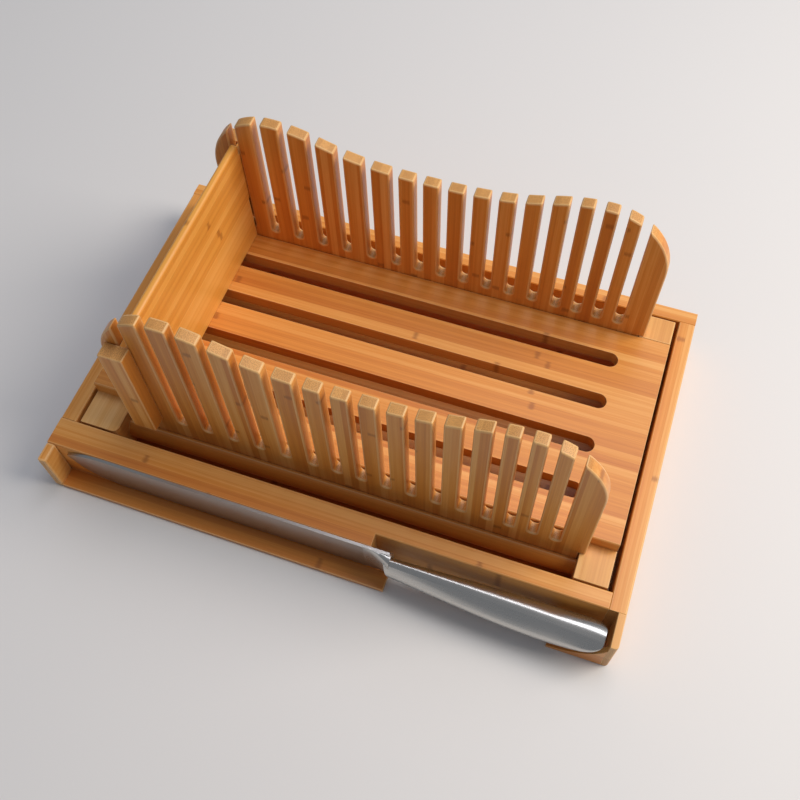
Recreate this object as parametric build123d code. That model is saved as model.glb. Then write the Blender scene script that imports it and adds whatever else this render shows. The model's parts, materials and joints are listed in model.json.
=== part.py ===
from build123d import *
import os

# Bread slicer guide of laminated bamboo: a crumb tray with a knife bay along its front,
# a lift-out slotted platform, two plug-in slotted fences, an end board and a bread knife.
# Millimetres. +Z is up, z = 0 is the table, and x = y = 0 is the middle of the plan.

# ---------------------------------------------------------------- driving dimensions
# Crumb tray; its length follows from the knife that lies in its front
tray_depth = 231.8
tray_height = 35.5
side_wall = 10.1
rear_rail_width = 9.8
tray_floor_thickness = 3.0
tray_floor_rise = 2.5          # underside of the floor panel above the table
floor_groove_depth = 4.0
floor_groove_play = 0.5

# Knife bay in front of the tray
guard_thickness = 3.5
guard_lap = 3.0                # how far the guard board passes the front of the handle
guard_slope_length = 18.0      # sloping last stretch of the guard's top edge
guard_slope_drop = 5.0
knife_slot_width = 9.1
slot_end_length = 20.0         # end-grain block at the left end of the knife slot
slot_end_corner = 9.0          # its rounded outer corner
slot_tip_notch = 2.5           # room for the point of the blade, cut into that block
front_rail_inner = 30.95       # inner face of the front rail, from the front of the guard
handle_bay_lead = 7.0          # the front rail steps back this far before the handle
handle_bay_depth = 20.7
bay_floor_thickness = 5.0
pocket_end_wall = 4.5
scoop_radius = 33.0            # quarter-round finger scoop in the pocket's lip
scoop_overrun = 0.9            # the scoop runs this far into the end wall's line
pocket_front_corner = 2.5

# Lift-out platform
platform_left_gap = 2.6
platform_right_gap = 3.1
platform_front_gap = 1.15
platform_rear_gap = 8.5
front_block_length = 22.5      # runner ends that show in front of the board
runner_left_width = 25.0
runner_right_width = 20.0
rear_block_length = 17.6       # runner ends behind the inner face of the rear fence
runner_corner = 4.0
board_thickness = 9.6
crumb_slots = 4
crumb_slot_width = 10.3
crumb_slot_pitch = 31.0
crumb_slot_length = 275.6
crumb_slot_offset = 1.2        # middle of the slots behind the middle of the board

# Fences
fence_thickness = 7.6
fence_left = 44.4              # left end of both fences, from the tray's left end
fence_length = 283.6
fence_play = 0.25              # each side of a fence in its groove
slot_width = 5.5
slot_floor_height = 7.0        # slot bottoms above the shoulder
slot_first = 63.1              # right side of the first slot, from the tray's left end
thick_slices = 6               # slices of each thickness, from the end board on
thick_pitch = 17.08
medium_slices = 7
medium_pitch = 15.17
thin_slices = 3
thin_pitch = 13.47
crest_height = 104.4           # top of the fences above the board
dip_height = 89.2
dip_flank_height = 94.8
crest_inset = 40.0             # crest, from each end of a fence
flank_reach = 57.0             # flank of the dip, from the middle of a fence
end_round_drop = 42.0          # rounded ends start this far below the crest
tongue_depth = 20.0            # below the shoulder, into the socket
tongue_end_play = 0.5
seat_play = 0.1                # under a piece that rests in another

# Sockets that hold the fences
socket_cheek = 6.5
socket_inner_cheek = 6.2
socket_lip_drop = 8.5          # outer cheek's top below the shoulder
socket_bottom = 26.0           # underside below the shoulder
socket_groove_play = 0.3
socket_ledge = 1.6

# End board
end_plate_thickness = 5.0
end_plate_height = 82.9
end_plate_play = 0.3
end_plate_round = 2.0
tenon_height = 40.0
tenon_top_drop = 7.0
post_width = 14.8
post_depth = 9.4
post_top_drop = 5.5            # below the top of the plate
front_post_height = 78.5
rear_post_height = 69.0
post_play = 0.3
post_overhang = 1.8            # past the right face of the plate

# Bread knife
blade_length = 186.0           # in front of the bolster
blade_thickness = 1.8
blade_height = 27.0
blade_tip_drop = 10.5
blade_tip_run = 46.0
blade_belly_lead = 4.0         # fullness of the curve from the edge to the point
blade_belly_rise = 4.3
blade_floor_gap = 0.3
scallop_pitch = 6.0
scallop_depth = 1.0
bolster_length = 12.0
handle_length = 132.5
butt_wall_gap = 3.0            # between the butt and the end wall of the pocket
knife_line = 8.2               # blade plane at the handle, behind the front of the guard
knife_yaw = 0.9                # degrees, the tip lies nearer the rail
handle_stand_out = 2.9         # how far the handle bulges out in front of the guard
handle_axis_drop = 11.7        # axis of the turned handle below the spine
handle_neck = 3.3              # half widths, seen from above
handle_belly = 9.6
handle_butt = 4.6
handle_swell = 1.2
handle_neck_radius = 9.8       # radii, seen from the side
handle_belly_radius = 11.9
handle_waist = 0.6
handle_butt_swell = 2.4
handle_belly_share = 0.7       # where the belly is, as a share of the length
butt_gap = 1.6                 # between the butt and the scoop of the lip
bolster_neck = 1.9
bolster_rise = 5.0
bolster_shoulder = 1.0         # top of the bolster's thin end below the spine
tang_length = 30.0
tang_height = 8.0
tang_drop = 6.3                # top of the tang below the spine

# Dowels
dowel_diameter = 6.0
dowel_length = 24.0
dowel_play = 0.02
dowel_cover = 2.0              # wood left beyond the end of a dowel
board_dowel_length = 14.0
board_dowel_inset = 25.0       # from the front and rear edges of the board
corner_dowel_height = 19.0     # middle of the tray's corner dowels above the table

edge_ease = 0.6                # softened edges of the boards

# ---------------------------------------------------------------- derived places
handle_start = slot_end_length + blade_length + bolster_length
tray_length = handle_start + handle_length + butt_wall_gap + pocket_end_wall

LEFT = -tray_length / 2
FRONT = -(tray_depth - handle_stand_out) / 2
RIGHT = LEFT + tray_length
REAR = FRONT + tray_depth

slot_back = FRONT + guard_thickness + knife_slot_width
rail_inner = FRONT + front_rail_inner
bay_back = FRONT + handle_bay_depth
inner_left = LEFT + side_wall
inner_right = RIGHT - side_wall
inner_rear = REAR - rear_rail_width
floor_top = tray_floor_rise + tray_floor_thickness
pocket_inner = RIGHT - pocket_end_wall
scoop_start = pocket_inner + scoop_overrun - scoop_radius

platform_left = inner_left + platform_left_gap
platform_right = inner_right - platform_right_gap
platform_front = rail_inner + platform_front_gap
platform_rear = inner_rear - platform_rear_gap
runner_left_inner = platform_left + runner_left_width
runner_right_inner = platform_right - runner_right_width
runner_top = tray_height
board_top = runner_top + board_thickness

front_face = platform_front + front_block_length   # inner face of the front fence
rear_face = platform_rear - rear_block_length      # inner face of the rear fence
board_front = front_face + fence_play
board_rear = rear_face - fence_play
board_middle = (board_front + board_rear) / 2
fence_start = LEFT + fence_left
fence_end = fence_start + fence_length
fence_middle = (fence_start + fence_end) / 2
tongue_right = runner_right_inner - tongue_end_play
crest = board_top + crest_height

handle_x = LEFT + handle_start                     # front end of the handle
knife_y = FRONT + knife_line
spine_z = bay_floor_thickness + blade_floor_gap + blade_height
plate_left = LEFT + slot_first - slot_width + (slot_width - end_plate_thickness) / 2


def board(x0, x1, y0, y1, z0, z1, ease=edge_ease):
    """A planed board between two corners, its long edges softened."""
    centre = Pos((x0 + x1) / 2, (y0 + y1) / 2, (z0 + z1) / 2)
    solid = centre * Box(x1 - x0, y1 - y0, z1 - z0)
    if not ease:
        return solid
    along = Axis.X if x1 - x0 > y1 - y0 else Axis.Y
    return chamfer(solid.edges().filter_by(along).group_by(Axis.Z)[-1], ease)


def dowel_rod(place, direction, length, play=0.0):
    """A dowel, or the hole for one, centred on a place."""
    plane = Plane(origin=place, z_dir=direction)
    return plane * Cylinder(dowel_diameter / 2 + play, length)


def corner_dowel_places():
    """Places and directions of the dowels in the four corners of the tray."""
    rail_middle = (bay_back + rail_inner) / 2
    wall_middle = inner_left - side_wall / 2
    wall_end = RIGHT - dowel_cover - dowel_length / 2
    z = corner_dowel_height
    return [
        ((wall_middle, rail_inner, z), (0, 1, 0)),
        ((wall_middle, inner_rear, z), (0, 1, 0)),
        ((inner_right + side_wall / 2, inner_rear, z), (0, 1, 0)),
        ((wall_end, rail_middle, z), (1, 0, 0)),
    ]


def corner_dowel_length(direction):
    """Dowels that enter the rear rail or the front rail stay inside it."""
    return dowel_length if direction[0] else 2 * (rear_rail_width - dowel_cover)


def corner_dowels(play=0.0):
    """All tray corner dowels, or the holes for them."""
    rods = []
    for place, direction in corner_dowel_places():
        length = corner_dowel_length(direction) + play
        rods.append(dowel_rod(place, direction, length, play))
    return rods


def floor_groove():
    """The groove that carries the tray's floor panel in the rails and walls."""
    reach = floor_groove_depth
    return board(
        inner_left - reach, inner_right + reach, rail_inner - reach, inner_rear + reach,
        tray_floor_rise, floor_top, 0,
    )


# ---------------------------------------------------------------- crumb tray
def tray_floor():
    """Thin bamboo panel let into grooves all round."""
    reach = floor_groove_depth - floor_groove_play
    return board(
        inner_left - reach, inner_right + reach, rail_inner - reach, inner_rear + reach,
        tray_floor_rise, floor_top, 0,
    )


def rail_with_joints(solid):
    """Cuts the floor groove and the dowel holes in a rail or wall."""
    solid = solid - floor_groove()
    for hole in corner_dowels(dowel_play):
        solid = solid - hole
    return solid


def rear_rail():
    solid = board(LEFT, RIGHT, inner_rear, REAR, 0, tray_height)
    return rail_with_joints(solid)


def left_wall():
    solid = board(LEFT, inner_left, rail_inner, inner_rear, 0, tray_height)
    return rail_with_joints(solid)


def right_wall():
    solid = board(inner_right, RIGHT, bay_back, inner_rear, 0, tray_height)
    return rail_with_joints(solid)


def front_rail():
    """Wide beside the knife slot, stepped back to leave room for the handle."""
    step_x = handle_x - handle_bay_lead
    outline = Polyline(
        (LEFT, slot_back), (step_x, slot_back), (step_x, bay_back),
        (inner_right, bay_back), (inner_right, rail_inner), (LEFT, rail_inner), close=True,
    )
    solid = extrude(make_face(outline), tray_height)
    top = solid.faces().sort_by(Axis.Z)[-1]
    solid = chamfer(top.edges().filter_by(Axis.X), edge_ease)
    return rail_with_joints(solid)


# ---------------------------------------------------------------- knife bay
def knife_guard():
    """Front board of the knife slot; its top edge falls away at the right end."""
    start = LEFT + slot_end_length
    end = handle_x + guard_lap
    outline = Polyline(
        (start, 0), (end, 0), (end, tray_height - guard_slope_drop),
        (end - guard_slope_length, tray_height), (start, tray_height), close=True,
    )
    face = Plane.XZ.offset(-FRONT) * make_face(outline)
    solid = extrude(face, -guard_thickness)
    return chamfer(solid.edges().filter_by(Axis.X).group_by(Axis.Z)[-1], edge_ease)


def slot_end_block():
    """Closes the left end of the slot, with its end grain up and its corner rounded."""
    x1 = LEFT + slot_end_length
    solid = board(LEFT, x1, FRONT, slot_back, 0, tray_height, 0)
    corner = solid.edges().filter_by(Axis.Z).sort_by(Axis.X)[:2].sort_by(Axis.Y)[0]
    solid = fillet(corner, slot_end_corner)
    radius = knife_slot_width / 2
    slot_middle = FRONT + guard_thickness + radius
    height = tray_height - bay_floor_thickness
    notch = Pos(x1 + radius - slot_tip_notch, slot_middle, tray_height - height / 2)
    solid = solid - notch * Cylinder(radius, height)
    return solid


def knife_slot_floor():
    """The strip that the knife's edge stands over, between the guard and the rail."""
    return board(
        LEFT + slot_end_length, handle_x + guard_lap, FRONT + guard_thickness, slot_back,
        0, bay_floor_thickness, 0,
    )


def pocket_lip():
    """Front of the handle pocket, scooped in a quarter round for the fingers."""
    width = pocket_inner - scoop_start
    sheet = Pos(scoop_start + width / 2, tray_height / 2) * Rectangle(width, tray_height)
    sheet = sheet - Pos(scoop_start, tray_height) * Circle(scoop_radius)
    return extrude(Plane.XZ.offset(-FRONT) * sheet, -guard_thickness)


def pocket_end():
    """Thin wall that closes the handle pocket at the right end."""
    solid = board(pocket_inner, RIGHT, FRONT, bay_back, 0, tray_height, 0)
    corner = solid.edges().filter_by(Axis.Z).sort_by(Axis.X)[-2:].sort_by(Axis.Y)[0]
    return fillet(corner, pocket_front_corner)


def pocket_floor():
    """Short floor under the butt of the handle."""
    guard_back = FRONT + guard_thickness
    return board(scoop_start, pocket_inner, guard_back, bay_back, 0, bay_floor_thickness, 0)


# ---------------------------------------------------------------- lift-out platform
def board_dowel_places():
    """Dowels that hold the slotted board down on the two runners."""
    places = []
    for x in (platform_left + runner_left_width / 2, platform_right - runner_right_width / 2):
        for y in (board_front + board_dowel_inset, board_rear - board_dowel_inset):
            places.append((x, y, runner_top))
    return places


def board_dowels(play=0.0):
    rods = []
    for place in board_dowel_places():
        rods.append(dowel_rod(place, (0, 0, 1), board_dowel_length + play, play))
    return rods


def slotted_board():
    """The cutting board, with long round-ended slots for the crumbs."""
    solid = board(platform_left, platform_right, board_front, board_rear, runner_top, board_top)
    first = board_middle + crumb_slot_offset - crumb_slot_pitch * (crumb_slots - 1) / 2
    x = (platform_left + platform_right) / 2
    for index in range(crumb_slots):
        place = Pos(x, first + index * crumb_slot_pitch, runner_top)
        opening = place * SlotOverall(crumb_slot_length, crumb_slot_width)
        solid = solid - extrude(opening, board_thickness)
    for hole in board_dowels(dowel_play):
        solid = solid - hole
    return solid


def runner(x0, x1):
    """A block that runs from front to rear under the end of the board."""
    underside = floor_top + seat_play
    solid = board(x0, x1, platform_front, platform_rear, underside, runner_top, 0)
    for hole in board_dowels(dowel_play):
        solid = solid - hole
    return solid


def left_runner():
    solid = runner(platform_left, runner_left_inner)
    corner = solid.edges().filter_by(Axis.Z).group_by(Axis.Y)[0].sort_by(Axis.X)[-1]
    return fillet(corner, runner_corner)


def right_runner():
    return runner(runner_right_inner, platform_right)


def rear_cap(x0, x1):
    """Brings the rear end of a runner up level with the board."""
    return board(x0, x1, board_rear, platform_rear, runner_top, board_top, 0)


def socket_section(fence_face, outward, shoulder):
    """Section of a socket rail: a rounded outer cheek, a groove and an inner cheek."""
    def at(distance, drop):
        return (fence_face + outward * distance, shoulder - drop)

    inner = -fence_play
    outer = fence_thickness + fence_play
    far = outer + socket_cheek
    middle = (socket_lip_drop + socket_bottom) / 2
    lip = at(outer + socket_ledge, socket_lip_drop)
    foot = at(outer + socket_ledge, socket_bottom)
    groove = tongue_depth + socket_groove_play
    under_board = shoulder - runner_top
    path = [
        Line(at(outer, socket_lip_drop), lip),
        ThreePointArc(lip, at(far, middle), foot),
        Line(foot, at(inner - socket_inner_cheek, socket_bottom)),
        Line(at(inner - socket_inner_cheek, socket_bottom), at(inner - socket_inner_cheek, under_board)),
        Line(at(inner - socket_inner_cheek, under_board), at(inner, under_board)),
        Line(at(inner, under_board), at(inner, groove)),
        Line(at(inner, groove), at(outer, groove)),
        Line(at(outer, groove), at(outer, socket_lip_drop)),
    ]
    return make_face(path)


def socket(fence_face, outward, shoulder):
    """A socket rail glued under the board, between the two runners."""
    face = Plane.YZ.offset(runner_left_inner) * socket_section(fence_face, outward, shoulder)
    return extrude(face, runner_right_inner - runner_left_inner)


# ---------------------------------------------------------------- fences
def slot_places():
    """Middle of each slice slot, in three zones of thick, medium and thin slices."""
    pitches = [thick_pitch] * thick_slices + [medium_pitch] * medium_slices
    pitches += [thin_pitch] * thin_slices
    x = LEFT + slot_first - slot_width / 2
    places = [x]
    for pitch in pitches:
        x += pitch
        places.append(x)
    return places


def fence_top():
    """The wave along the top: two crests, a dip between them and rounded ends."""
    crest_x = fence_length / 2 - crest_inset
    fall = crest_height - dip_height
    flank = crest_height - dip_flank_height
    wave = [(-crest_x, 0), (-flank_reach, -flank), (0, -fall), (flank_reach, -flank), (crest_x, 0)]
    points = [(fence_middle + x, crest + z) for x, z in wave]
    return [
        end_round(fence_middle - crest_x, 90),
        Spline(points, tangents=[(1, 0), (1, 0)]),
        end_round(fence_middle + crest_x, 0),
    ]


def end_round(x, start):
    """A quarter of an ellipse that rounds one end of a fence's top."""
    return EllipticalCenterArc(
        (x, crest - end_round_drop), crest_inset, end_round_drop, start_angle=start, arc_size=90,
    )


def fence(inner_face, outward, shoulder):
    """A comb of rounded teeth that guide the knife, with a tongue for its socket."""
    side_top = crest - end_round_drop
    lower = Polyline(
        (fence_end, side_top), (fence_end, shoulder), (tongue_right, shoulder),
        (tongue_right, shoulder - tongue_depth), (fence_start, shoulder - tongue_depth),
        (fence_start, side_top),
    )
    sheet = make_face([*fence_top(), *lower.edges()])
    floor_z = shoulder + slot_floor_height + slot_width / 2
    height = crest - floor_z
    for x in slot_places():
        sheet = sheet - Pos(x, floor_z + height / 2) * Rectangle(slot_width, height)
        sheet = sheet - Pos(x, floor_z) * Circle(slot_width / 2)
    face = Plane.XZ.offset(-inner_face) * sheet
    return extrude(face, -outward * fence_thickness)


# ---------------------------------------------------------------- end board
def end_plate():
    """Upright plate that stops the loaf, tenoned through the first slot of both fences."""
    bottom = board_top + seat_play
    top = board_top + end_plate_height
    y0 = front_face + end_plate_play
    y1 = rear_face - end_plate_play
    tenon_y0 = front_face - fence_thickness - post_play
    tenon_y1 = rear_face + fence_thickness + post_play
    tenon_top = top - tenon_top_drop
    tenon_bottom = tenon_top - tenon_height
    outline = Polyline(
        (y0, bottom), (y1, bottom), (y1, tenon_bottom), (tenon_y1, tenon_bottom),
        (tenon_y1, tenon_top), (y1, tenon_top), (y1, top), (y0, top),
        (y0, tenon_top), (tenon_y0, tenon_top), (tenon_y0, tenon_bottom), (y0, tenon_bottom),
        close=True,
    )
    face = Plane.YZ.offset(plate_left) * make_face(outline)
    solid = extrude(face, end_plate_thickness)
    return fillet(solid.edges().filter_by(Axis.Y).group_by(Axis.Z)[-1], end_plate_round)


def post(outer_face, outward, height):
    """Square post outside a fence, glued to the tenon of the end plate."""
    top = board_top + end_plate_height - post_top_drop
    near = outer_face + outward * post_play
    far = near + outward * post_depth
    x1 = plate_left + end_plate_thickness + post_overhang
    return board(x1 - post_width, x1, min(near, far), max(near, far), top - height, top, 0)


# ---------------------------------------------------------------- bread knife
def knife_frame():
    """Frame of the knife: x to the butt, the blade in its xz plane, z = 0 at the spine."""
    return Pos(handle_x, knife_y, spine_z) * Rot(0, 0, -knife_yaw)


def knife_blade():
    """Blade with a scalloped edge, a curved tip and a tang inside the handle."""
    heel = -bolster_length
    tip = heel - blade_length
    edge = -blade_height
    count = int((blade_length - blade_tip_run) / scallop_pitch)
    scallops = []
    x = heel
    for _ in range(count):
        middle = (x - scallop_pitch / 2, edge + scallop_depth)
        scallops.append(ThreePointArc((x, edge), middle, (x - scallop_pitch, edge)))
        x -= scallop_pitch
    spine_start = tip + blade_tip_run
    fullness = ((x + tip) / 2 - blade_belly_lead, edge + blade_belly_rise)
    belly = ThreePointArc((x, edge), fullness, (tip, -blade_tip_drop))
    point = TangentArc((spine_start, 0), (tip, -blade_tip_drop), tangent=(-1, 0))
    tang_foot = -tang_drop - tang_height
    tang = Polyline(
        (spine_start, 0), (heel, 0), (heel, -tang_drop), (tang_length, -tang_drop),
        (tang_length, tang_foot), (heel, tang_foot), (heel, edge),
    )
    sheet = make_face([*scallops, belly, point, *tang.edges()])
    face = Plane.XZ.offset(-blade_thickness / 2) * sheet
    return knife_frame() * extrude(face, blade_thickness)


def tang_hole():
    """Where the tang runs inside the bolster and the handle."""
    x0 = -bolster_length
    centre = Pos((x0 + tang_length) / 2, 0, -tang_drop - tang_height / 2)
    return centre * Box(tang_length - x0, blade_thickness, tang_height)


def knife_bolster():
    """Tapered collar between the blade and the handle."""
    x0 = -bolster_length
    collar_top = handle_axis_drop - handle_neck_radius
    side = Polyline(
        (0, -collar_top), (0, collar_top - 2 * handle_axis_drop),
        (x0, -blade_height + bolster_rise), (x0, -bolster_shoulder), close=True,
    )
    plan = Polyline(
        (0, handle_neck), (0, -handle_neck), (x0, -bolster_neck), (x0, bolster_neck), close=True,
    )
    solid = both_ways(Plane.XZ, side) & both_ways(Plane.XY, plan)
    return knife_frame() * (solid - tang_hole())


def both_ways(plane, outline):
    """A flat outline, extruded far enough both ways to cut the handle's shape."""
    return extrude(plane * make_face(outline), blade_height + handle_belly_radius, both=True)


def handle_plan():
    """The handle seen from above: a narrow neck, a belly and a rounded butt."""
    belly = handle_length * handle_belly_share
    quarter = (handle_neck + handle_belly) / 2 + handle_swell
    butt = (handle_belly + handle_butt) / 2 + handle_swell
    half = [
        ThreePointArc((0, handle_neck), (belly / 2, quarter), (belly, handle_belly)),
        ThreePointArc(
            (belly, handle_belly), ((belly + handle_length) / 2, butt), (handle_length, handle_butt),
        ),
    ]
    other = [mirror(edge, about=Plane.XZ) for edge in half]
    ends = [
        Line((0, handle_neck), (0, -handle_neck)),
        Line((handle_length, handle_butt), (handle_length, -handle_butt)),
    ]
    return half + other + ends


def handle_turning():
    """The round body of the handle, turned about its own axis."""
    belly = handle_length * handle_belly_share
    quarter = (handle_neck_radius + handle_belly_radius) / 2 - handle_waist
    butt = (handle_belly_radius + handle_butt) / 2 + handle_butt_swell
    outline = [
        ThreePointArc(
            (0, handle_neck_radius), (belly / 2, quarter), (belly, handle_belly_radius),
        ),
        ThreePointArc(
            (belly, handle_belly_radius), ((belly + handle_length) / 2, butt),
            (handle_length, handle_butt),
        ),
        Line((handle_length, handle_butt), (handle_length, 0)),
        Line((handle_length, 0), (0, 0)),
        Line((0, 0), (0, handle_neck_radius)),
    ]
    return Pos(0, 0, -handle_axis_drop) * revolve(make_face(outline), Axis.X)


def butt_sweep():
    """The underside of the butt follows the scoop in the pocket's lip."""
    radius = scoop_radius - butt_gap
    centre = (scoop_start - handle_x, tray_height - spine_z)
    sweep = CenterArc(centre, radius, -90, 90)
    corner = (centre[0], centre[1] - radius)
    tip = (centre[0] + radius, centre[1])
    front = -bolster_length
    sides = Polyline(tip, (tip[0], radius), (front, radius), (front, corner[1]), corner)
    outline = [sweep, *sides.edges()]
    return both_ways(Plane.XZ, outline)


def knife_handle():
    """Steel handle that swells from a narrow neck towards its rounded butt."""
    solid = handle_turning() & both_ways(Plane.XY, handle_plan()) & butt_sweep()
    return knife_frame() * (solid - tang_hole())


# ---------------------------------------------------------------- all the sub-parts
def build_all():
    """Name and solid of each sub-part."""
    front_shoulder = runner_top + seat_play
    rear_shoulder = board_top + seat_play
    front_outer = front_face - fence_thickness
    rear_outer = rear_face + fence_thickness
    return {
        "rear_rail": rear_rail(),
        "left_wall": left_wall(),
        "right_wall": right_wall(),
        "front_rail": front_rail(),
        "tray_floor": tray_floor(),
        "corner_dowels": Compound(children=corner_dowels()),
        "knife_guard": knife_guard(),
        "slot_end_block": slot_end_block(),
        "knife_slot_floor": knife_slot_floor(),
        "pocket_lip": pocket_lip(),
        "pocket_end": pocket_end(),
        "pocket_floor": pocket_floor(),
        "slotted_board": slotted_board(),
        "left_runner": left_runner(),
        "right_runner": right_runner(),
        "rear_left_cap": rear_cap(platform_left, runner_left_inner),
        "rear_right_cap": rear_cap(runner_right_inner, platform_right),
        "front_fence_socket": socket(front_face, -1, runner_top),
        "rear_fence_socket": socket(rear_face, 1, board_top),
        "board_dowels": Compound(children=board_dowels()),
        "front_fence": fence(front_face, -1, front_shoulder),
        "rear_fence": fence(rear_face, 1, rear_shoulder),
        "end_plate": end_plate(),
        "front_post": post(front_outer, -1, front_post_height),
        "rear_post": post(rear_outer, 1, rear_post_height),
        "knife_blade": knife_blade(),
        "knife_bolster": knife_bolster(),
        "knife_handle": knife_handle(),
    }


os.makedirs("parts", exist_ok=True)
for name, solid in build_all().items():
    export_step(solid, f"parts/{name}.step")
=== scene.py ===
"""The look of a bamboo bread slicer guide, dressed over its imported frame.

Lengths are millimetres in the dataclasses and metres in the scene. The row frame is the
part's own: +X runs along the knife, +Y from the knife bay to the rear rail, +Z up.
"""
import json
import logging
import math
from dataclasses import dataclass, field
from enum import Enum

import bmesh
import bpy
from mathutils import Matrix, Vector

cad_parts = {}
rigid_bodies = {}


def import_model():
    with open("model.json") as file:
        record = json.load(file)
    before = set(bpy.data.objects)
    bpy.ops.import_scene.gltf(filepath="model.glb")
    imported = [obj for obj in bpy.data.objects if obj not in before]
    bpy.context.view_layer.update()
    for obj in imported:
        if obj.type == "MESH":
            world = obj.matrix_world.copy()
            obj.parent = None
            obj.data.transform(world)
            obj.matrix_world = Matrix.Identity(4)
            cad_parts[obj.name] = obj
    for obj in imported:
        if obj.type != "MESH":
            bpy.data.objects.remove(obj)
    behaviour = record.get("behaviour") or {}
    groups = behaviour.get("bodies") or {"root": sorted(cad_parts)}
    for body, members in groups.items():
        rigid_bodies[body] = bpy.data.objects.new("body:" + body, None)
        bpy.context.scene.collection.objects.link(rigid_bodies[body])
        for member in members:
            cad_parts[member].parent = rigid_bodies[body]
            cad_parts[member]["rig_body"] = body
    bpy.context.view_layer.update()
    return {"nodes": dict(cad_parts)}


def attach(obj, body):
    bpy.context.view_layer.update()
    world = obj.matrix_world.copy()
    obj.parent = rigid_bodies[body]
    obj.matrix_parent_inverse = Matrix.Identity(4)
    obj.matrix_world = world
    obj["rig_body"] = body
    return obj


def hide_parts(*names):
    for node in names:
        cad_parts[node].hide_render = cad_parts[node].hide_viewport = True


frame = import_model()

MM = 0.001
EDGE_HIGHLIGHT = "edge_highlight"          # face attribute: 1 on the softened edges of a board, which get a painted highlight
JOIN_DISTANCE = 1e-6        # metres under which two corners are one
FLAT_ANGLE = 0.6            # degrees under which two facets are one face
BEVEL_ANGLE = 28.0          # degrees over which an edge is softened
BOARD_SMOOTH = 48.0         # degrees up to which a board is shaded smooth
STEEL_SMOOTH = 38.0         # degrees up to which the knife is shaded smooth
NORMAL_WEIGHT = 80          # how far large faces win over their bevels

Feed = bpy.types.Node | bpy.types.NodeSocket | float | tuple[float, ...]
Point = tuple[float, float, float]
Outline = list[tuple[float, float]]

log = logging.getLogger("bread_slicer")


def linear(code: str) -> tuple[float, float, float, float]:
    """Turns an sRGB hex colour into the linear colour that shaders use.

    Args:
        code: six hex digits, with or without a leading hash.

    Returns:
        Linear red, green, blue and an alpha of 1.
    """
    digits = code.lstrip("#")
    channels = [int(digits[i:i + 2], 16) / 255 for i in (0, 2, 4)]
    curved = [c / 12.92 if c <= 0.04045 else ((c + 0.055) / 1.055) ** 2.4 for c in channels]
    return (*curved, 1.0)


class Grain(Enum):
    """Axes along the fibres, across the narrow strips and across the wide ones."""

    LENGTHWISE = ("X", "Y", "Z")
    FRONT_TO_REAR = ("Y", "X", "Z")
    UPRIGHT = ("Z", "X", "Y")
    PLATE = ("Y", "Z", "X")


class Graph:
    """A material's node tree, filled through one function."""

    def __init__(self, name: str) -> None:
        """Starts an empty material.

        Args:
            name: the name of the new material.
        """
        self.material = bpy.data.materials.new(name)
        self.material.use_nodes = True
        self.tree = self.material.node_tree
        self.tree.nodes.clear()

    def add(self, kind: str, *feeds: Feed, named: dict[int | str, Feed] | None = None,
            **settings: str) -> bpy.types.Node:
        """Adds one node with its settings and links.

        Args:
            kind: the node's type, without its ShaderNode prefix.
            feeds: what goes into its first sockets, in order. A node stands for its
                first output.
            named: what goes into other sockets, by their name or number.
            settings: properties to set on the node before its sockets are filled.

        Returns:
            The new node.
        """
        node = self.tree.nodes.new("ShaderNode" + kind)
        for key, value in settings.items():
            setattr(node, key, value)
        for place, value in {**dict(enumerate(feeds)), **(named or {})}.items():
            if isinstance(value, bpy.types.Node):
                value = value.outputs[0]
            if isinstance(value, bpy.types.NodeSocket):
                self.tree.links.new(value, node.inputs[place])
            else:
                node.inputs[place].default_value = value
        return node

    def millimetres(self) -> dict[str, bpy.types.NodeSocket]:
        """Splits the object's own coordinates.

        Returns:
            The sockets of X, Y and Z, in millimetres.
        """
        place = self.add("TexCoord").outputs["Object"]
        scaled = self.add("VectorMath", place, named={"Scale": 1 / MM}, operation="SCALE")
        return dict(zip("XYZ", self.add("SeparateXYZ", scaled).outputs))


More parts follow.
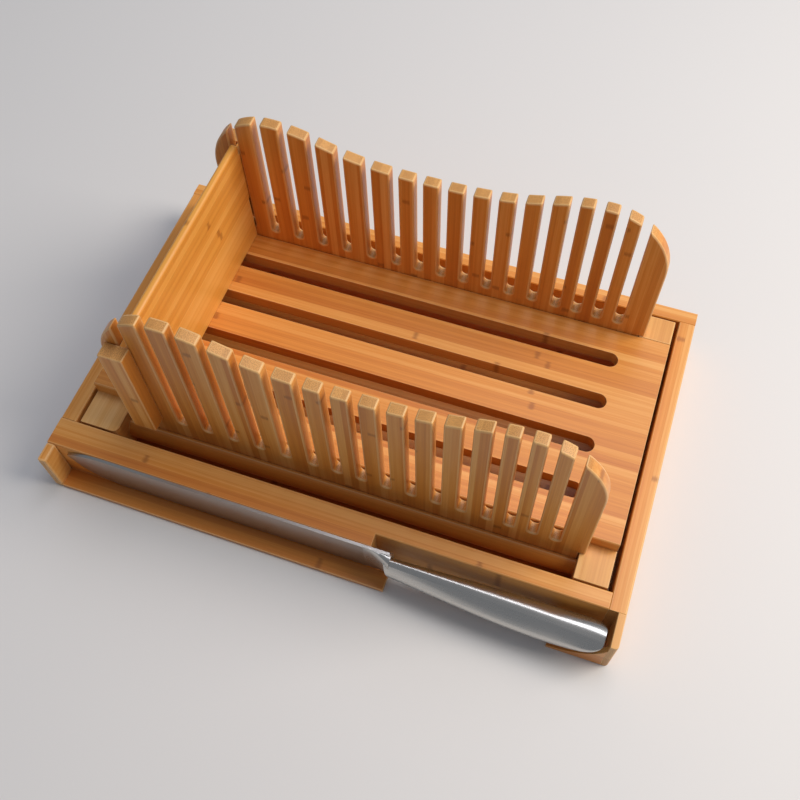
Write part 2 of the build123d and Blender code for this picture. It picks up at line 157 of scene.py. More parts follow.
@dataclass(frozen=True)
class Bamboo:
    """Laminated bamboo under satin lacquer.

    Planed strips of differing tone, glued side by side, give fine stripes along the
    board. Fibres draw the tone out, a few strips show the dark band of a knuckle, and
    cut ends show dots where the fibre bundles end. The lacquer gives a soft gloss.
    """

    name: str
    grain: Grain
    narrow: float = 5.2            # strip width across its narrow side
    wide: float = 19.0             # and across its wide side
    dark: str = "C07028"
    middle: str = "D98F3C"
    light: str = "EBB064"
    stops: Point = (0.18, 0.52, 0.86)   # where these three stand on the ramp
    knuckle: str = "8A4A18"
    end_light: str = "C68F4E"
    end_dark: str = "7C4A20"
    highlight_colour: str = "F0C88C"           # painted highlight: softened edges drawn paler, as if they caught more light
    highlight_share: float = 0.45
    knuckle_every: float = 210.0   # between the knuckles of one stalk
    knuckle_width: float = 2.2
    knuckle_share: float = 0.45    # share of the strips whose knuckle shows
    knuckle_depth: float = 0.55    # how dark it is
    fibre_stretch: float = 0.018   # along against across, drawn coarser than life to show
    fibre_scale: float = 1.7       # per millimetre across
    streak_stretch: float = 0.006
    streak_scale: float = 0.42
    glue_line: float = 0.16        # width of the glue lines
    glue_depth: float = 0.4
    dot_scale: float = 1.5         # fibre bundles per millimetre of end grain
    end_rough: float = 0.12        # end grain is this much duller
    roughness: float = 0.4
    coat: float = 0.08
    coat_roughness: float = 0.28
    relief: float = 0.05           # height of the fibres
    relief_strength: float = 0.35
    column_shift: float = 0.37     # keeps the strips' joints off the boards' edges
    row_shift: float = 0.21
    seed: float = 1.0

    def build(self) -> bpy.types.Material:
        """Makes the material.

        Returns:
            The new material.
        """
        graph = Graph(self.name)
        axes = graph.millimetres()
        along, across, deep = (axes[letter] for letter in self.grain.value)
        strips = graph.add(
            "Math", across, 1 / self.narrow, self.column_shift, operation="MULTIPLY_ADD",
        )
        layers = graph.add("Math", deep, 1 / self.wide, self.row_shift, operation="MULTIPLY_ADD")
        cell = graph.add(
            "CombineXYZ", graph.add("Math", strips, operation="FLOOR"),
            graph.add("Math", layers, operation="FLOOR"), self.seed,
        )
        dice = graph.add("TexWhiteNoise", cell, noise_dimensions="3D")
        tone, offset, chance = graph.add("SeparateColor", dice.outputs[1]).outputs[:3]
        start = graph.add("Math", offset, 400.0, along, operation="MULTIPLY_ADD")
        fibre = self.fibres(graph, start, across, deep, self.fibre_stretch, {
            "Scale": self.fibre_scale, "Detail": 4.0, "Roughness": 0.65,
        })
        streak = self.fibres(graph, start, across, deep, self.streak_stretch, {
            "Scale": self.streak_scale, "Detail": 3.0, "Roughness": 0.55,
        })
        colour = self.strip_colour(graph, tone, fibre, streak)
        colour = self.knuckles(graph, colour, along, offset, chance, streak)
        colour = self.glue_lines(graph, colour, strips)
        end = self.end_mask(graph)
        colour = self.blend(graph, end, colour, self.end_grain(graph, across, deep, tone))
        # painted highlight: the softened edges are drawn paler
        colour = self.painted_edge_highlight(graph, colour)
        return self.lacquered(graph, colour, fibre, end)

    def blend(self, graph: Graph, share: Feed, first: Feed, second: Feed) -> Feed:
        """Lays one colour over another.

        Args:
            graph: the material's tree.
            share: share of the second colour.
            first: the colour below.
            second: the colour above.

        Returns:
            The blended colour.
        """
        sockets = {0: share, 6: first, 7: second}
        return graph.add("Mix", named=sockets, data_type="RGBA", blend_type="MIX").outputs[2]

    def fibres(self, graph: Graph, start: Feed, across: Feed, deep: Feed, stretch: float,
               look: dict[str, float]) -> Feed:
        """Noise that is drawn out along the grain.

        Args:
            graph: the material's tree.
            start: place along the grain, with the strip's own shift.
            across: place across the narrow strips.
            deep: place across the wide strips.
            stretch: scale along the grain against the scale across it.
            look: scale, detail and roughness of the noise.

        Returns:
            The noise's value.
        """
        drawn = graph.add("Math", start, stretch, operation="MULTIPLY")
        place = graph.add("CombineXYZ", drawn, across, deep)
        return graph.add("TexNoise", named={"Vector": place, **look})

    def strip_colour(self, graph: Graph, tone: Feed, fibre: Feed, streak: Feed) -> Feed:
        """Gives a strip its own tone, with streaks and fibres over it.

        Args:
            graph: the material's tree.
            tone: the strip's random tone.
            fibre: the fine fibres.
            streak: the broad streaks.

        Returns:
            The strip's colour.
        """
        value = graph.add("Math", tone, 0.42, -0.08, operation="MULTIPLY_ADD")
        broad = graph.add("Math", streak, 0.62, operation="MULTIPLY")
        value = graph.add("Math", value, broad, operation="ADD")
        fine = graph.add("Math", fibre, 0.42, -0.14, operation="MULTIPLY_ADD")
        ramp = graph.add("ValToRGB", graph.add("Math", value, fine, operation="ADD"))
        ramp.color_ramp.elements.new(0.5)
        colours = (self.dark, self.middle, self.light)
        for element, place, code in zip(ramp.color_ramp.elements, self.stops, colours):
            element.position = place
            element.color = linear(code)
        return ramp

    def knuckles(self, graph: Graph, colour: Feed, along: Feed, offset: Feed, chance: Feed,
                 streak: Feed) -> Feed:
        """Darkens the bands where the stalk had its knuckles, on some of the strips.

        Args:
            graph: the material's tree.
            colour: the strip's colour.
            along: place along the grain.
            offset: the strip's random shift.
            chance: the strip's random draw for showing its knuckle.
            streak: the broad streaks, which make the band ragged.

        Returns:
            The colour with its knuckles.
        """
        turns = graph.add(
            "Math", along, 1 / self.knuckle_every, offset, operation="MULTIPLY_ADD",
        )
        share = graph.add("Math", turns, operation="FRACT")
        centred = graph.add("Math", share, 0.5, operation="SUBTRACT")
        place = graph.add("Math", centred, operation="ABSOLUTE")
        distance = graph.add("Math", place, self.knuckle_every, operation="MULTIPLY")
        ragged = graph.add(
            "Math", streak, self.knuckle_width, distance, operation="MULTIPLY_ADD",
        )
        outside = graph.add(
            "MapRange", ragged, self.knuckle_width * 0.6, self.knuckle_width * 1.8,
            interpolation_type="SMOOTHSTEP",
        )
        inside = graph.add("Math", 1.0, outside, operation="SUBTRACT")
        chosen = graph.add("Math", chance, self.knuckle_share, operation="LESS_THAN")
        shown = graph.add("Math", inside, chosen, operation="MULTIPLY")
        amount = graph.add("Math", shown, self.knuckle_depth, operation="MULTIPLY")
        return self.blend(graph, amount, colour, linear(self.knuckle))

    def glue_lines(self, graph: Graph, colour: Feed, strips: Feed) -> Feed:
        """Draws hair-thin glue lines between the strips.

        Args:
            graph: the material's tree.
            colour: the strips' colour.
            strips: place across the narrow strips, counted in strips.

        Returns:
            The colour with its glue lines.
        """
        share = graph.add("Math", strips, operation="FRACT")
        centred = graph.add("Math", share, 0.5, operation="SUBTRACT")
        away = graph.add("Math", centred, operation="ABSOLUTE")
        line = graph.add(
            "MapRange", away, 0.5 - self.glue_line / self.narrow, 0.5,
            interpolation_type="SMOOTHSTEP",
        )
        amount = graph.add("Math", line, self.glue_depth, operation="MULTIPLY")
        return self.blend(graph, amount, colour, linear(self.dark))

    def end_mask(self, graph: Graph) -> Feed:
        """Finds the faces that cut across the fibres.

        Args:
            graph: the material's tree.

        Returns:
            1 on those faces and 0 along the fibres.
        """
        normal = graph.add("NewGeometry").outputs["True Normal"]
        split = graph.add("SeparateXYZ", normal)
        facing = split.outputs["XYZ".index(self.grain.value[0])]
        return graph.add(
            "MapRange", graph.add("Math", facing, operation="ABSOLUTE"), 0.62, 0.82,
            interpolation_type="SMOOTHSTEP",
        )

    def end_grain(self, graph: Graph, across: Feed, deep: Feed, tone: Feed) -> Feed:
        """Dots the end grain where the fibre bundles are cut.

        Args:
            graph: the material's tree.
            across: place across the narrow strips.
            deep: place across the wide strips.
            tone: the strip's random tone.

        Returns:
            The end grain's colour.
        """
        place = graph.add("CombineXYZ", across, deep, 0.0)
        dots = graph.add(
            "TexVoronoi", named={"Vector": place, "Scale": self.dot_scale},
            voronoi_dimensions="2D",
        )
        half_tone = graph.add("Math", tone, 0.5, operation="MULTIPLY")
        ground = self.blend(graph, half_tone, linear(self.end_light), linear(self.light))
        around = graph.add("MapRange", dots, 0.12, 0.42, interpolation_type="SMOOTHSTEP")
        spot = graph.add("Math", 1.0, around, operation="SUBTRACT")
        amount = graph.add("Math", spot, 0.6, operation="MULTIPLY")
        return self.blend(graph, amount, ground, linear(self.end_dark))

    def painted_edge_highlight(self, graph: Graph, colour: Feed) -> Feed:
        """Paints a highlight on the softened edges, drawing them paler than the faces.

        Args:
            graph: the material's tree.
            colour: the board's colour.

        Returns:
            The colour with its pale edges.
        """
        edge = graph.add("Attribute", attribute_name=EDGE_HIGHLIGHT).outputs["Fac"]
        amount = graph.add("Math", edge, self.highlight_share, operation="MULTIPLY")
        return self.blend(graph, amount, colour, linear(self.highlight_colour))

    def lacquered(self, graph: Graph, colour: Feed, fibre: Feed, end: Feed) -> bpy.types.Material:
        """Puts the lacquered surface over the colour.

        Args:
            graph: the material's tree.
            colour: the board's colour.
            fibre: the fine fibres, which stand up a little.
            end: 1 on end grain.

        Returns:
            The finished material.
        """
        rough = graph.add("Math", fibre, 0.12, self.roughness - 0.06, operation="MULTIPLY_ADD")
        relief = graph.add("Bump", named={
            "Height": fibre, "Distance": self.relief * MM, "Strength": self.relief_strength,
        })
        surface = graph.add("BsdfPrincipled", named={
            "Base Color": colour,
            "Roughness": graph.add("Math", end, self.end_rough, rough, operation="MULTIPLY_ADD"),
            "Coat Weight": self.coat,
            "Coat Roughness": self.coat_roughness,
            "Normal": relief,
        })
        graph.add("OutputMaterial", surface)
        return graph.material


@dataclass(frozen=True)
class BrushedSteel:
    """Stainless steel, brushed along X: fine lines that draw the highlights out."""

    name: str
    colour: str = "C9C7C3"
    line_colour: str = "8E8B86"
    line_share: float = 0.35
    roughness: float = 0.3
    scratch: float = 2.6           # lines per millimetre across, coarser than life to show
    stretch: float = 0.02          # along against across
    relief: float = 0.012
    relief_strength: float = 0.25

    def build(self) -> bpy.types.Material:
        """Makes the material.

        Returns:
            The new material.
        """
        graph = Graph(self.name)
        axes = graph.millimetres()
        drawn = graph.add("Math", axes["X"], self.stretch, operation="MULTIPLY")
        stretched = graph.add("CombineXYZ", drawn, axes["Y"], axes["Z"])
        lines = graph.add("TexNoise", named={
            "Vector": stretched, "Scale": self.scratch, "Detail": 5.0, "Roughness": 0.7,
        })
        whole = graph.add("CombineXYZ", axes["X"], axes["Y"], axes["Z"])
        smudge = graph.add("TexNoise", named={
            "Vector": whole, "Scale": 0.05, "Detail": 2.0, "Roughness": 0.55,
        })
        amount = graph.add("Math", lines, self.line_share, operation="MULTIPLY")
        mixed = graph.add("Mix", named={
            0: amount, 6: linear(self.colour), 7: linear(self.line_colour),
        }, data_type="RGBA", blend_type="MIX")
        rough = graph.add("Math", lines, 0.12, self.roughness - 0.06, operation="MULTIPLY_ADD")
        relief = graph.add("Bump", named={
            "Height": lines, "Distance": self.relief * MM, "Strength": self.relief_strength,
        })
        surface = graph.add("BsdfPrincipled", named={
            "Metallic": 1.0,
            "Base Color": mixed.outputs[2],
            "Roughness": graph.add("Math", smudge, 0.08, rough, operation="MULTIPLY_ADD"),
            "Normal": relief,
        })
        graph.add("OutputMaterial", surface)
        return graph.material


@dataclass(frozen=True)
class PaleTable:
    """A plain matt painted table top, with a barely seen cloudiness."""

    name: str = "pale_table"
    colour: str = "DCDCDD"
    cloud_colour: str = "C8C8C8"
    cloud_share: float = 0.06
    roughness: float = 0.62

    def build(self) -> bpy.types.Material:
        """Makes the material.

        Returns:
            The new material.
        """
        graph = Graph(self.name)
        axes = graph.millimetres()
        flat = graph.add("CombineXYZ", axes["X"], axes["Y"], 0.0)
        cloud = graph.add("TexNoise", named={
            "Vector": flat, "Scale": 0.004, "Detail": 2.0, "Roughness": 0.55,
        })
        amount = graph.add("Math", cloud, self.cloud_share, operation="MULTIPLY")
        mixed = graph.add("Mix", named={
            0: amount, 6: linear(self.colour), 7: linear(self.cloud_colour),
        }, data_type="RGBA", blend_type="MIX")
        surface = graph.add("BsdfPrincipled", named={
            "Base Color": mixed.outputs[2], "Roughness": self.roughness,
        })
        graph.add("OutputMaterial", surface)
        return graph.material


Finish = Bamboo | BrushedSteel | PaleTable

BAMBOO_RAIL = Bamboo("bamboo_rail", Grain.LENGTHWISE, seed=3.0)
BAMBOO_WALL = Bamboo("bamboo_wall", Grain.FRONT_TO_REAR, seed=7.0)
# painted shade: the ledge's bamboo is drawn darker than the rails', as it lies low in front of
# the tray, in its shadow
BAMBOO_LEDGE_SHADE = Bamboo(
    "bamboo_ledge_painted_shade", Grain.LENGTHWISE, seed=4.0, narrow=20.0,
    dark="B86A26", middle="C87C30", light="D89044",
)
BAMBOO_BLOCK = Bamboo(
    "bamboo_block", Grain.FRONT_TO_REAR, seed=11.0,
    dark="CC8A44", middle="DFA458", light="EFC080",
)
BAMBOO_FENCE = Bamboo(
    "bamboo_fence", Grain.UPRIGHT, seed=5.0, narrow=4.6, knuckle_every=150.0,
)
BAMBOO_PLATE = Bamboo(
    "bamboo_plate", Grain.PLATE, seed=9.0, dark="D48E38", middle="E8A649", light="F2BA66",
)
BLADE_STEEL = BrushedSteel("blade_steel", colour="BDBBB8", roughness=0.26)
HANDLE_STEEL = BrushedSteel("handle_steel", colour="CFCDC9", roughness=0.24)


@dataclass(frozen=True)
class Board:
    """How one CAD node of wood is dressed."""

    node: str
    finish: Bamboo
    edge: float = 0.7              # width of its softened edges
    slot: str = "bamboo"           # material slot in the record


@dataclass
class Workshop:
    """Makes the finishes and dresses the frame's nodes."""

    materials: dict[str, bpy.types.Material] = field(default_factory=dict)

    def material(self, finish: Finish) -> bpy.types.Material:
        """Gives the material of a finish, made once.

        Args:
            finish: the finish to look up.

        Returns:
            Its material.
        """
        if finish.name not in self.materials:
            self.materials[finish.name] = finish.build()
        return self.materials[finish.name]

    def dress(self, boards: tuple[Board, ...]) -> None:
        """Replaces boards' nodes by copies with softened edges, which carry a painted highlight.

        Args:
            boards: the nodes and their finishes.
        """
        for board in boards:
            node = frame["nodes"][board.node]
            mesh = softened(node.data, board.edge * MM)
            piece = placed(board.node + "_wood", mesh, self.material(board.finish))
            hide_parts(board.node)
            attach(piece, node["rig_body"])
            log.info("%s dressed, %d faces", piece.name, len(mesh.polygons))

    def paint(self, name: str, finish: Finish) -> None:
        """Gives a CAD node that stays as it is its material.

        Args:
            name: the node.
            finish: its finish.
        """
        node = frame["nodes"][name]
        node.data.materials.clear()
        node.data.materials.append(self.material(finish))
        log.info("%s painted", name)


def placed(name: str, mesh: bpy.types.Mesh, material: bpy.types.Material) -> bpy.types.Object:
    """Puts a mesh into the scene as an object.

    Args:
        name: name of the mesh and the object.
        mesh: the mesh, in row-frame metres.
        material: its only material.

    Returns:
        The new object, at the origin.
    """
    mesh.name = name
    mesh.materials.clear()
    mesh.materials.append(material)
    piece = bpy.data.objects.new(name, mesh)
    bpy.context.scene.collection.objects.link(piece)
    return piece


def softened(source: bpy.types.Mesh, width: float) -> bpy.types.Mesh:
    """Copies a mesh, joins its flat facets and bevels its sharp edges.

    Args:
        source: the mesh to copy.
        width: width of the bevels, in metres.

    Returns:
        A new mesh with a face attribute that is 1 on the bevels.
    """
    shape = bmesh.new()
    shape.from_mesh(source)
    bmesh.ops.remove_doubles(shape, verts=shape.verts, dist=JOIN_DISTANCE)
    bmesh.ops.dissolve_limit(
        shape, angle_limit=math.radians(FLAT_ANGLE), verts=shape.verts, edges=shape.edges,
    )
    highlight_layer = shape.faces.layers.float.new(EDGE_HIGHLIGHT)
    for face in shape.faces:
        face.smooth = True
    sharp = [
        edge for edge in shape.edges
        if len(edge.link_faces) == 2 and edge.calc_face_angle() > math.radians(BEVEL_ANGLE)
    ]
    result = bmesh.ops.bevel(
        shape, geom=sharp, offset=width, segments=2, profile=0.6, affect="EDGES",
        clamp_overlap=True, harden_normals=False,
    )
    # marks the bevels, where the painted edge highlight goes
    for face in result["faces"]:
        face[highlight_layer] = 1.0
        face.smooth = True
    bmesh.ops.triangulate(shape, faces=[f for f in shape.faces if len(f.verts) > 4])
    mesh = bpy.data.meshes.new("softened")
    shape.to_mesh(mesh)
    shape.free()
    weigh_normals(mesh)
    return mesh


def weigh_normals(mesh: bpy.types.Mesh) -> None:
    """Keeps large faces flat beside their bevels, by face-weighted normals.

    Args:
        mesh: the mesh that gets the normals.
    """
    holder = bpy.data.objects.new("holder", mesh)
    bpy.context.scene.collection.objects.link(holder)
    mesh.set_sharp_from_angle(angle=math.radians(BOARD_SMOOTH))
    weighted = holder.modifiers.new("weighted", "WEIGHTED_NORMAL")
    weighted.keep_sharp = True
    weighted.weight = NORMAL_WEIGHT
    bpy.context.view_layer.update()
    evaluated = holder.evaluated_get(bpy.context.evaluated_depsgraph_get())
    fresh = bpy.data.meshes.new_from_object(evaluated)
    normals = [tuple(loop.vector) for loop in fresh.corner_normals]
    bpy.data.objects.remove(holder)
    mesh.normals_split_custom_set(normals)
    bpy.data.meshes.remove(fresh)


def block(low: Point, high: Point, edge: float) -> bpy.types.Mesh:
    """Makes a board with rounded edges between two corners.

    Args:
        low: lowest corner, in millimetres.
        high: highest corner, in millimetres.
        edge: width of the rounded edges, in millimetres.

    Returns:
        The new mesh.
    """
    shape = bmesh.new()
    bmesh.ops.create_cube(shape, size=1.0)
    for vert in shape.verts:
        for axis in range(3):
            share = vert.co[axis] + 0.5
            vert.co[axis] = (low[axis] + (high[axis] - low[axis]) * share) * MM
    raw = bpy.data.meshes.new("raw_block")
    shape.to_mesh(raw)
    shape.free()
    mesh = softened(raw, edge * MM)
    bpy.data.meshes.remove(raw)
    return mesh


@dataclass
class Tray:
    """The crumb tray: rails, walls, floor and the pocket under the knife's handle."""

    rails: tuple[Board, ...] = (
        Board("rear_rail", BAMBOO_RAIL),
        Board("front_rail", BAMBOO_RAIL),
        Board("left_wall", BAMBOO_WALL),
        Board("right_wall", BAMBOO_WALL),
        Board("tray_floor", BAMBOO_RAIL, 0.2, "bamboo_panel"),
    )
    pocket: tuple[Board, ...] = (
        Board("pocket_lip", BAMBOO_RAIL, 0.5),
        Board("pocket_end", BAMBOO_BLOCK, 0.5, "bamboo_pale"),
        Board("pocket_floor", BAMBOO_RAIL, 0.3),
    )

    def build(self, workshop: Workshop) -> None:
        """Dresses the tray's boards and paints its dowels.

        Args:
            workshop: makes the materials.
        """
        workshop.dress(self.rails)
        workshop.dress(self.pocket)
        workshop.paint("corner_dowels", BAMBOO_FENCE)


@dataclass
class Platform:
    """The slotted board that lifts out, with its runners, caps and fence sockets."""

    boards: tuple[Board, ...] = (
        Board("slotted_board", BAMBOO_RAIL, 0.6),
        Board("left_runner", BAMBOO_BLOCK, 0.7, "bamboo_pale"),
        Board("right_runner", BAMBOO_BLOCK, 0.7, "bamboo_pale"),
        Board("rear_left_cap", BAMBOO_BLOCK, 0.6, "bamboo_pale"),
        Board("rear_right_cap", BAMBOO_BLOCK, 0.6, "bamboo_pale"),
        Board("front_fence_socket", BAMBOO_RAIL, 0.4),
        Board("rear_fence_socket", BAMBOO_RAIL, 0.4),
    )

    def build(self, workshop: Workshop) -> None:
        """Dresses the platform's boards and paints its dowels.

        Args:
            workshop: makes the materials.
        """
        workshop.dress(self.boards)
        workshop.paint("board_dowels", BAMBOO_FENCE)


@dataclass
class Fences:
    """The two slotted fences that guide the knife."""

    boards: tuple[Board, ...] = (
        Board("front_fence", BAMBOO_FENCE, 1.1),
        Board("rear_fence", BAMBOO_FENCE, 1.1),
    )

    def build(self, workshop: Workshop) -> None:
        """Dresses both fences.

        Args:
            workshop: makes the materials.
        """
        workshop.dress(self.boards)


@dataclass
class EndBoard:
    """The end plate that the loaf stands against, between its two posts."""

    boards: tuple[Board, ...] = (
        Board("end_plate", BAMBOO_PLATE, 0.6),
        Board("front_post", BAMBOO_FENCE, 0.7),
        Board("rear_post", BAMBOO_FENCE, 0.7),
    )

    def build(self, workshop: Workshop) -> None:
        """Dresses the plate and its posts.

        Args:
            workshop: makes the materials.
        """
        workshop.dress(self.boards)


@dataclass
class KnifeLedge:
    """The open ledge in front of the tray on which the knife stands, and its end wall."""

    left: float = -179.0
    front: float = -114.45
    rail_face: float = -101.85     # front face of the front rail
    right: float = 42.6            # end of the ledge, under the handle
    thickness: float = 3.2
    ledge_edge: float = 0.5
    wall_width: float = 5.8
    wall_height: float = 35.5
    wall_edge: float = 1.4

    def build(self, workshop: Workshop) -> None:
        """Makes the ledge and the wall, and replaces the nodes they stand for.

        Args:
            workshop: makes the materials.
        """
        inner = self.left + self.wall_width
        plank = block(
            (inner, self.front, 0), (self.right, self.rail_face, self.thickness),
            self.ledge_edge,
        )
        # the ledge's darker bamboo is painted shade
        ledge = placed("knife_ledge", plank, workshop.material(BAMBOO_LEDGE_SHADE))
        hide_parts("knife_guard", "knife_slot_floor")
        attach(ledge, "tray")
        upright = block(
            (self.left, self.front, 0), (inner, self.rail_face, self.wall_height),
            self.wall_edge,
        )
        wall = placed("ledge_end_wall", upright, workshop.material(BAMBOO_WALL))
        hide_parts("slot_end_block")
        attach(wall, "tray")
        log.info("knife ledge and its end wall made")


@dataclass
class Knife:
    """The bread knife, standing on its edge against the front rail."""

    plane: float = -103.0          # middle of the blade
    thickness: float = 1.8
    edge_thickness: float = 0.3
    spine: float = 36.3
    edge: float = 4.0
    point: tuple[float, float] = (-166.0, 29.5)
    heel: float = 44.0
    belly: float = 36.0            # length of the curve up to the point
    drop: float = 30.0             # length of the spine's fall to the point
    grind: float = 9.0             # height of the ground bevel above the edge
    scallop: float = 6.0
    scallop_depth: float = 0.9
    blade_steps: int = 420
    bolster_lead: float = 13.0     # how far the bolster runs out in front of the handle
    bolster_length: float = 17.0
    bolster_steps: int = 12
    bolster_around: int = 24
    handle_front: float = 41.0
    butt: float = 171.3
    handle_steps: int = 44
    handle_around: int = 40

    def build(self, workshop: Workshop) -> None:
        """Makes the blade, the bolster and the handle.

        Args:
            workshop: makes the materials.
        """
        blade_steel = workshop.material(BLADE_STEEL)
        handle_steel = workshop.material(HANDLE_STEEL)
        blade = placed("bread_knife_blade", forged(self.blade_rows()), blade_steel)
        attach(blade, "knife")
        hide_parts("knife_blade")
        bolster = placed("bread_knife_bolster", forged(self.bolster_rows()), handle_steel)
        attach(bolster, "knife")
        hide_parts("knife_bolster")
        handle = placed("bread_knife_handle", forged(self.handle_rows()), handle_steel)
        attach(handle, "knife")
        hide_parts("knife_handle")
        log.info("knife made, %d faces in the handle", len(handle.data.polygons))

    def blade_height(self, x: float) -> tuple[float, float]:
        """Finds the heights of the edge and the spine.

        Args:
            x: place along the blade.

        Returns:
            The height of the edge and of the spine.
        """
        tip_x, tip_z = self.point
        low, high = self.edge, self.spine
        if x < tip_x + self.belly:
            share = (tip_x + self.belly - x) / self.belly
            low = self.edge + (tip_z - self.edge) * (1 - math.sqrt(max(0.0, 1 - share ** 2.2)))
        if x < tip_x + self.drop:
            share = (tip_x + self.drop - x) / self.drop
            high = self.spine - (self.spine - tip_z) * share ** 2.4
        return low, high

    def blade_rows(self) -> list[list[Point]]:
        """Sections of a ground blade with a scalloped edge and a curved point.

        Returns:
            One closed section for each step along the blade.
        """
        rows = []
        half, thin = self.thickness / 2, self.edge_thickness / 2
        for index in range(self.blade_steps + 1):
            x = self.point[0] + (self.heel - self.point[0]) * index / self.blade_steps
            low, high = self.blade_height(x)
            if x > self.point[0] + self.belly:
                wave = abs(math.sin(math.pi * x / self.scallop))
                low += self.scallop_depth * (1 - wave)
            top = max(high - low, 0.02)
            grind = low + min(self.grind, top * 0.45)
            section = [
                (-thin, low), (-half, grind), (-half, low + top), (half, low + top),
                (half, grind), (thin, low),
            ]
            rows.append([(x, self.plane + y, z) for y, z in section])
        return rows

    def bolster_rows(self) -> list[list[Point]]:
        """Sections of the collar that swells from the blade's spine into the handle.

        Returns:
            One closed section for each step along the bolster.
        """
        rows = []
        for index in range(self.bolster_steps + 1):
            share = index / self.bolster_steps
            x = self.handle_front - self.bolster_lead + self.bolster_length * share
            grow = share ** 1.7
            half = self.thickness / 2 + 0.15 + 4.0 * grow
            high = self.spine + 0.2 - 1.2 * grow
            low = self.edge + 9.0 + 2.0 * grow
            middle = self.plane - 1.7 * grow
            section = rounded_section(
                (middle - half, middle + half), (low, high), 0.45 + 0.2 * share,
                self.bolster_around,
            )
            rows.append([(x, y, z) for y, z in section])
        return rows

    def handle_rows(self) -> list[list[Point]]:
        """Sections of a hollow-formed steel handle.

        Returns:
            One closed section for each step along the handle.
        """
        return [
            self.handle_section(index / self.handle_steps)
            for index in range(self.handle_steps + 1)
        ]

    def handle_section(self, step: float) -> list[Point]:
        """Outlines the handle, from its ridge right round and back to it.

        Args:
            step: share of the steps from the bolster to the butt.

        Returns:
            The points of the section.
        """
        share = 1 - (1 - step) ** 1.6 if step > 0 else 0.0
        x = self.handle_front + (self.butt - self.handle_front) * share
        swell = math.sin(min(share / 0.78, 1.0) * math.pi / 2) ** 1.3
        front = -111.4 - 6.4 * swell
        back = -101.9 + 3.4 * swell
        ridge_y = -107.9 - 4.0 * share
        top = 33.2 - 0.6 * share
        bottom = 13.5 - 4.9 * swell
        over = max(0.0, (share - 0.74) / 0.26)
        bottom += (top - 2.2 - bottom) * (1 - math.sqrt(max(0.0, 1 - over ** 2)))
        last = max(0.0, (share - 0.9) / 0.1)
        narrow = 1 - math.sqrt(max(0.0, 1 - last ** 2.4)) if share > 0.9 else 0.0
        centre = (front + back) / 2 - 1.0
        front += (centre - front) * narrow * 0.55
        back += (centre - back) * narrow * 0.55
        ridge_y = min(max(ridge_y, front + 0.4), back - 0.4)
        height = top - bottom
        ridge = (ridge_y, top - 1.3)
        points = [
            ridge,
            (ridge_y + (back - ridge_y) * 0.45, top),
            (back - (back - front) * 0.06, top - height * 0.16),
            (back, top - height * 0.42),
            (back - (back - front) * 0.12, bottom + height * 0.2),
            ((front + back) / 2, bottom),
            (front + (back - front) * 0.12, bottom + height * 0.2),
            (front, top - height * 0.46),
            (front + (ridge_y - front) * 0.38, top - height * 0.22 - 0.6),
            ridge,
        ]
        lean = 0.34 * max(0.0, 1 - share / 0.12)
        return [(x + (top - z) * lean, y, z) for y, z in flow(points, self.handle_around)]


def flow(points: Outline, count: int) -> Outline:
    """Draws a smooth curve through points.

    Args:
        points: the points it passes, from the first to the last.
        count: number of points to give.

    Returns:
        Points along the curve, without the last one.
    """
    result = []
    spans = len(points) - 1
    for index in range(count):
        place = index / count * spans
        first = int(place)
        t = place - first
        p1, p2 = points[first], points[first + 1]
        p0 = points[first - 1] if first > 0 else p1
        p3 = points[first + 2] if first + 2 <= spans else p2
        result.append(tuple(
            0.5 * (2 * b + (c - a) * t + (2 * a - 5 * b + 4 * c - d) * t ** 2
                   + (3 * b - a - 3 * c + d) * t ** 3)
            for a, b, c, d in zip(p0, p1, p2, p3)
        ))
    return result


def rounded_section(ys: tuple[float, float], zs: tuple[float, float], power: float,
                    count: int) -> Outline:
    """Outlines a rounded rectangle as a superellipse.

    Args:
        ys: its lowest and highest Y.
        zs: its lowest and highest Z.
        power: 1 for an ellipse, and less for squarer corners.
        count: number of points.

    Returns:
        The points of the outline.
    """
    result = []
    for index in range(count):
        angle = 2 * math.pi * index / count
        y = math.copysign(abs(math.cos(angle)) ** power, math.cos(angle))
        z = math.copysign(abs(math.sin(angle)) ** power, math.sin(angle))
        result.append((
            (ys[0] + ys[1]) / 2 + (ys[1] - ys[0]) / 2 * y,
            (zs[0] + zs[1]) / 2 + (zs[1] - zs[0]) / 2 * z,
        ))
    return result


def forged(rows: list[list[Point]]) -> bpy.types.Mesh:
    """Joins closed sections by quads, closes both ends and smooths the result.

    Args:
        rows: the sections, in millimetres, all with the same number of points.

    Returns:
        The new mesh, with its faces pointing outwards.
    """
    shape = bmesh.new()
    rings = [[shape.verts.new((x * MM, y * MM, z * MM)) for x, y, z in row] for row in rows]
    for near, far in zip(rings, rings[1:]):
        count = len(near)
        for index in range(count):
            after = (index + 1) % count
            face = shape.faces.new((near[index], near[after], far[after], far[index]))
            face.smooth = True
    shape.faces.new(rings[0])
    shape.faces.new(list(reversed(rings[-1])))
    bmesh.ops.recalc_face_normals(shape, faces=shape.faces)
    mesh = bpy.data.meshes.new("forged")
    shape.to_mesh(mesh)
    shape.free()
    mesh.set_sharp_from_angle(angle=math.radians(STEEL_SMOOTH))
    return mesh


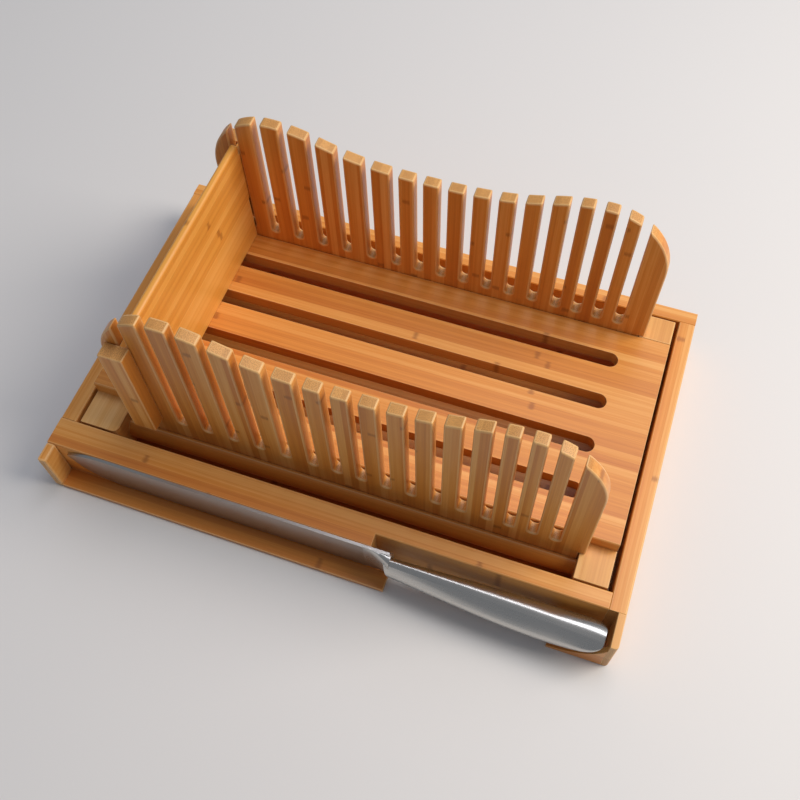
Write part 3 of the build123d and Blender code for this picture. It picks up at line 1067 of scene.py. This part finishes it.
@dataclass(frozen=True)
class View:
    """The photograph's camera, in millimetres and radians."""

    place: Point = (121.72, -278.05, 551.24)
    pitch: float = 1.055           # below the horizon
    roll: float = 0.039
    yaw: float = 0.369             # to the left of straight ahead
    lens: float = 42.892
    sensor: float = 36.0
    reach: float = 20.0            # metres

    def place_camera(self) -> None:
        """Adds the scene's camera."""
        data = bpy.data.cameras.new("camera")
        data.lens = self.lens
        data.sensor_width = self.sensor
        data.clip_end = self.reach
        camera = bpy.data.objects.new("camera", data)
        turn = (
            Matrix.Rotation(self.yaw, 4, "Z") @ Matrix.Rotation(-self.pitch, 4, "X")
            @ Matrix.Rotation(self.roll, 4, "Y") @ Matrix.Rotation(math.pi / 2, 4, "X")
        )
        camera.matrix_world = Matrix.Translation(Vector(self.place) * MM) @ turn
        bpy.context.scene.collection.objects.link(camera)
        bpy.context.scene.camera = camera


@dataclass(frozen=True)
class Lamp:
    """One square soft light, in metres and watts."""

    name: str
    place: Point
    size: float
    power: float
    colour: str

    def hang(self) -> None:
        """Hangs the light so that it points at the object."""
        data = bpy.data.lights.new(self.name, "AREA")
        data.size = self.size
        data.energy = self.power
        data.color = linear(self.colour)[:3]
        light = bpy.data.objects.new(self.name, data)
        light.location = self.place
        light.rotation_euler = (-Vector(self.place)).to_track_quat("-Z", "Y").to_euler()
        bpy.context.scene.collection.objects.link(light)


@dataclass(frozen=True)
class Studio:
    """A pale table, one soft light from the right, a weaker one from above and a sky."""

    floor: float = 6.0             # metres across
    lamps: tuple[Lamp, ...] = (
        Lamp("key", (1.15, 0.35, 1.2), 0.9, 23.0, "FFF4E6"),
        Lamp("fill", (0.25, 0.55, 1.6), 0.9, 8.0, "F4F6FF"),
    )
    sky: str = "E4E9F2"
    sky_strength: float = 0.3

    def set_up(self, workshop: Workshop) -> None:
        """Adds the table, the lights and the sky.

        Args:
            workshop: makes the table's material.
        """
        self.lay_floor(workshop.material(PaleTable()))
        for lamp in self.lamps:
            lamp.hang()
        world = bpy.data.worlds.new("sky")
        world.use_nodes = True
        background = world.node_tree.nodes["Background"]
        background.inputs[0].default_value = linear(self.sky)
        background.inputs[1].default_value = self.sky_strength
        bpy.context.scene.world = world

    def lay_floor(self, material: bpy.types.Material) -> None:
        """Lays the table top under the object.

        Args:
            material: the table's material.
        """
        half = self.floor / 2
        mesh = bpy.data.meshes.new("table_top")
        corners = [(-half, -half, 0), (half, -half, 0), (half, half, 0), (-half, half, 0)]
        mesh.from_pydata(corners, [], [(0, 1, 2, 3)])
        floor = placed("table_top", mesh, material)


def main() -> None:
    """Builds the sub-assemblies in order, then the camera and the studio."""
    logging.basicConfig(level=logging.INFO, format="%(name)s: %(message)s")
    workshop = Workshop()
    for part in (Tray(), Platform(), Fences(), EndBoard(), KnifeLedge(), Knife()):
        part.build(workshop)
        log.info("%s finished", type(part).__name__)
    View().place_camera()
    Studio().set_up(workshop)
    bpy.context.scene.view_settings.view_transform = "Standard"


if __name__ == "__main__":
    main()
